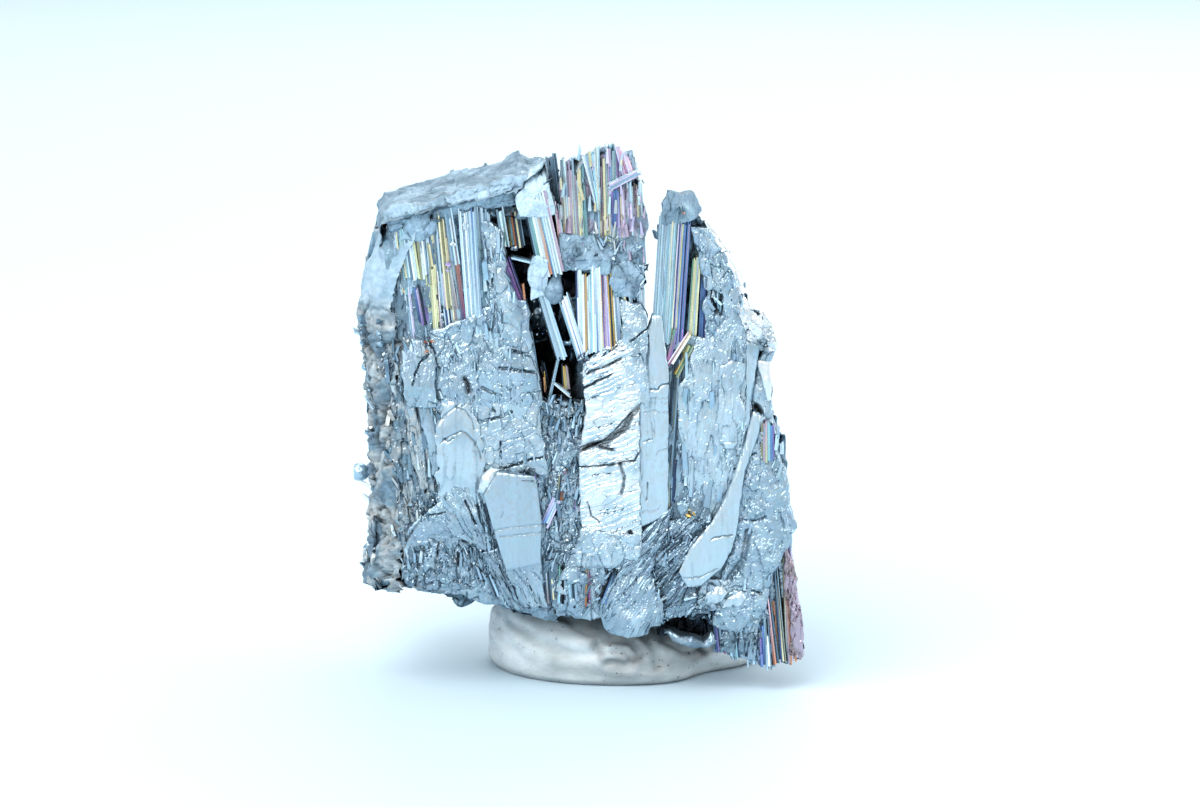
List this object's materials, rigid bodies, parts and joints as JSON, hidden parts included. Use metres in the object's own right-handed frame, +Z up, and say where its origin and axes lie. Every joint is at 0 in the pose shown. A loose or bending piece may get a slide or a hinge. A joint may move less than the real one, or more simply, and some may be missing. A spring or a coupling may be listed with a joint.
{
  "type": "stibnite specimen",
  "caption": "Upright broken block of intergrown metallic bladed crystals with a dark cleft and a notch between two towers, standing on an oval lump of putty.",
  "frame": {"origin": "on the flat underside of the putty lump, at table level, below the middle of the cluster", "axes": "+Z up along the blades, +X to the right and -Y towards the viewer, seen from the face with the cleft"},
  "size_m": [0.0342, 0.0161, 0.0408],
  "materials": {
    "stibnite": "satin",
    "mounting_putty": "matte"
  },
  "bodies": {
    "root": {"stibnite_cluster": "stibnite", "putty_lump": "mounting_putty"}
  },
  "joints": []
}
